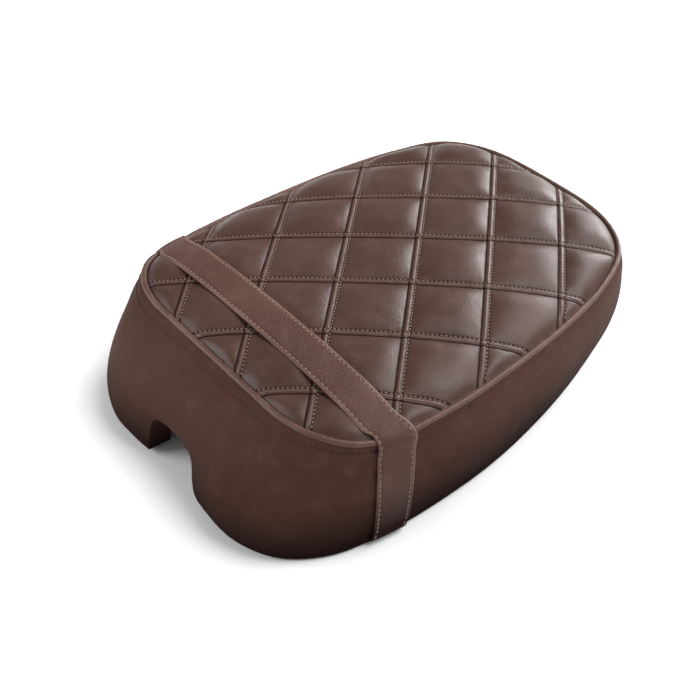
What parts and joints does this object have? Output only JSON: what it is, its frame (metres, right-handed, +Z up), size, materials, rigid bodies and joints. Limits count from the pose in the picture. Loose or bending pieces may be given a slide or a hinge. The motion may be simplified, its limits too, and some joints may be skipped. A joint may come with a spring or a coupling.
{
  "type": "motorcycle seat",
  "caption": "Short quilted leather motorcycle passenger seat with a grab strap, on a plastic pan with a front hinge and rear latch striker.",
  "frame": {"origin": "under the middle of the seat, on the plane that its hem, bumpers and hinge bracket stand on", "axes": "+Y to the rear of the seat, +X to the rider's left, +Z up out of the seat"},
  "size_m": [0.333, 0.4609, 0.1215],
  "materials": {
    "top_leather": "brown smooth-grain leather, quilted, semi-gloss",
    "skirt_leather": "dark brown grained leather, satin",
    "strap_leather": "brown strap leather, satin",
    "piping_leather": "lighter brown leather welt, satin",
    "thread": "twisted polyester thread, matt",
    "seat_foam": "moulded polyurethane foam",
    "quilt_wadding": "bonded polyester wadding",
    "cord_cotton": "braided cord",
    "pan_plastic": "black moulded, fine texture",
    "zinc_steel": "zinc plated, satin",
    "bracket_paint": "black powder coat, satin",
    "bumper_rubber": "black moulded rubber, matt"
  },
  "bodies": {
    "frame_bracket": {"hinge_frame_bracket": "bracket_paint", "hinge_washer_left": "zinc_steel", "hinge_pin_left": "zinc_steel", "hinge_clip_left": "zinc_steel", "hinge_washer_right": "zinc_steel", "hinge_pin_right": "zinc_steel", "hinge_clip_right": "zinc_steel"},
    "seat": {"seat_pan": "pan_plastic", "foam_core": "seat_foam", "top_wadding": "quilt_wadding", "quilted_top_panel": "top_leather", "front_skirt_panel": "skirt_leather", "left_skirt_panel": "skirt_leather", "right_skirt_panel": "skirt_leather", "piping_wrap": "piping_leather", "piping_cord": "cord_cotton", "strap_lining": "strap_leather", "grab_strap": "strap_leather", "strap_plate_left": "zinc_steel", "strap_plate_right": "zinc_steel", "strap_screw_left_1": "zinc_steel", "strap_screw_left_2": "zinc_steel", "strap_screw_right_1": "zinc_steel", "strap_screw_right_2": "zinc_steel", "bumper_front_left": "bumper_rubber", "bumper_front_right": "bumper_rubber", "bumper_rear_left": "bumper_rubber", "bumper_rear_right": "bumper_rubber", "hinge_seat_leaf_left": "zinc_steel", "hinge_seat_leaf_right": "zinc_steel", "hinge_screw_left_1": "zinc_steel", "hinge_screw_left_2": "zinc_steel", "hinge_screw_right_1": "zinc_steel", "hinge_screw_right_2": "zinc_steel", "latch_striker": "zinc_steel", "latch_screw_1": "zinc_steel", "latch_screw_2": "zinc_steel"}
  },
  "joints": [
    {"name": "seat_hinge", "type": "hinge", "parent": "frame_bracket", "child": "seat", "pos_m": [0, -0.199, 0.036], "axis": [1, 0, 0], "range_deg": [0, 78]}
  ]
}
